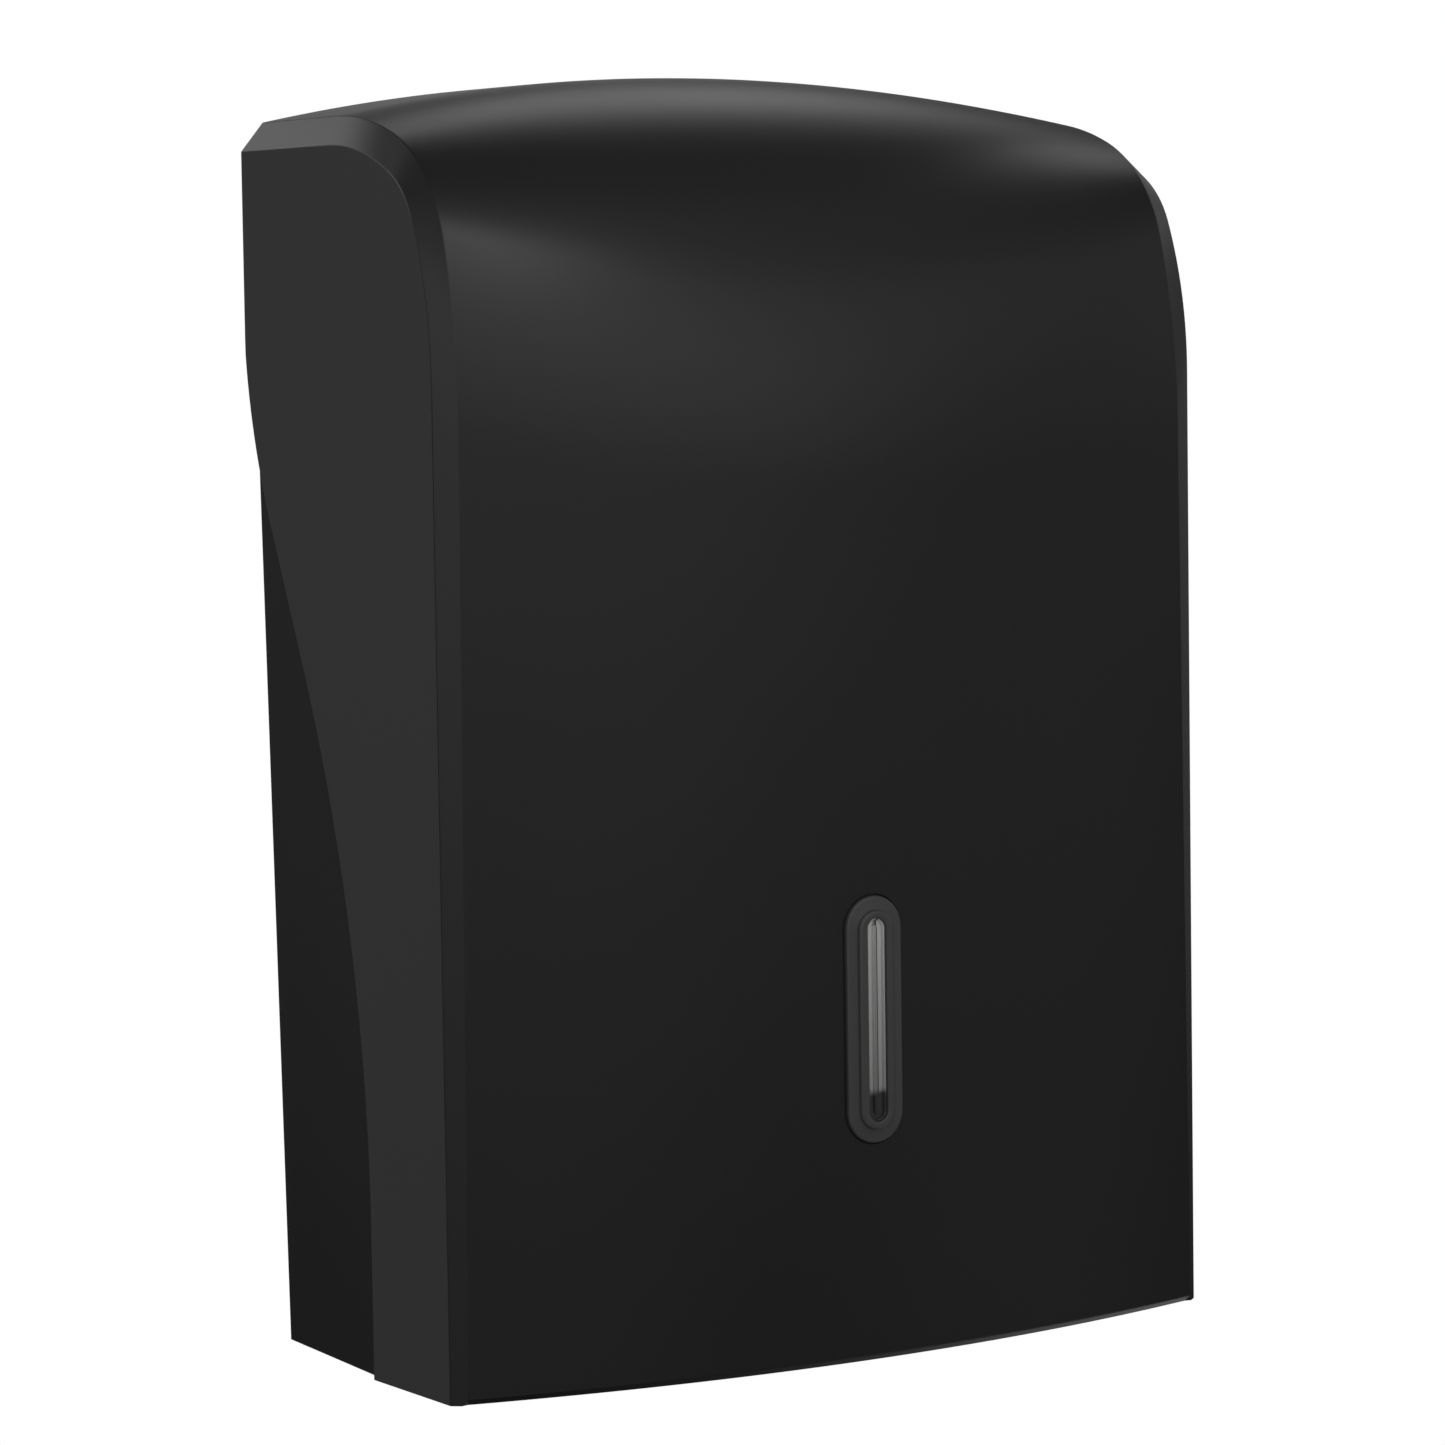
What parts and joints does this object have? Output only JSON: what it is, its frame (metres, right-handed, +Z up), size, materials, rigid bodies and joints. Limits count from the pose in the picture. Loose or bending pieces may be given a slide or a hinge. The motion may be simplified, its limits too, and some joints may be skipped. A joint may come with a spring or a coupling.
{
  "type": "wall-mounted folded towel dispenser",
  "caption": "Wall-mounted folded paper towel or napkin dispenser: bulged black cover hinged at the bottom, oval level window, cam lock on top, tray with dispensing slot.",
  "frame": {"origin": "bottom centre of the flat face that lies on the wall", "axes": "+Z up, +Y into the wall, +X to the viewer's right when facing the dispenser, so the front faces -Y"},
  "size_m": [0.28, 0.1418, 0.3987],
  "materials": {
    "cover_plastic": "fine spark-eroded grain, satin black",
    "housing_plastic": "smooth moulded black",
    "bezel_plastic": "satin dark grey-black",
    "clear_lens": "clear polished",
    "inner_plastic": "moulded dark grey",
    "dark_sheet": "black powder coat",
    "zinc_steel": "bright zinc plate",
    "nylon": "natural nylon",
    "lock_black": "black-plated zinc alloy",
    "towel_paper": "soft uncoated tissue"
  },
  "bodies": {
    "base": {"back_housing": "housing_plastic", "hinge_bush_left": "nylon", "hinge_bush_right": "nylon", "towel_tray": "inner_plastic", "tray_screws": "zinc_steel", "front_guard": "dark_sheet", "guard_screws": "zinc_steel", "guide_left": "dark_sheet", "guide_right": "dark_sheet", "guide_screws": "zinc_steel", "keeper_plate": "zinc_steel", "keeper_screws": "zinc_steel", "towel_stack": "towel_paper"},
    "cover": {"front_cover": "cover_plastic", "window_bezel": "bezel_plastic", "window_lens": "clear_lens", "window_retainer": "inner_plastic", "window_screws": "zinc_steel", "hinge_pin_left": "zinc_steel", "hinge_pin_right": "zinc_steel", "lock_barrel": "lock_black", "lock_nut": "zinc_steel"},
    "lock": {"lock_plug": "lock_black", "lock_cam": "zinc_steel", "cam_washer": "zinc_steel", "cam_screw": "zinc_steel"}
  },
  "joints": [
    {"name": "cover_hinge", "type": "hinge", "parent": "base", "child": "cover", "pos_m": [0, -0.109, 0.012], "axis": [1, 0, 0], "range_deg": [0, 90]},
    {"name": "lock_turn", "type": "hinge", "parent": "cover", "child": "lock", "pos_m": [0, -0.024, 0.385], "axis": [0, 0, -1], "range_deg": [0, 90]}
  ]
}
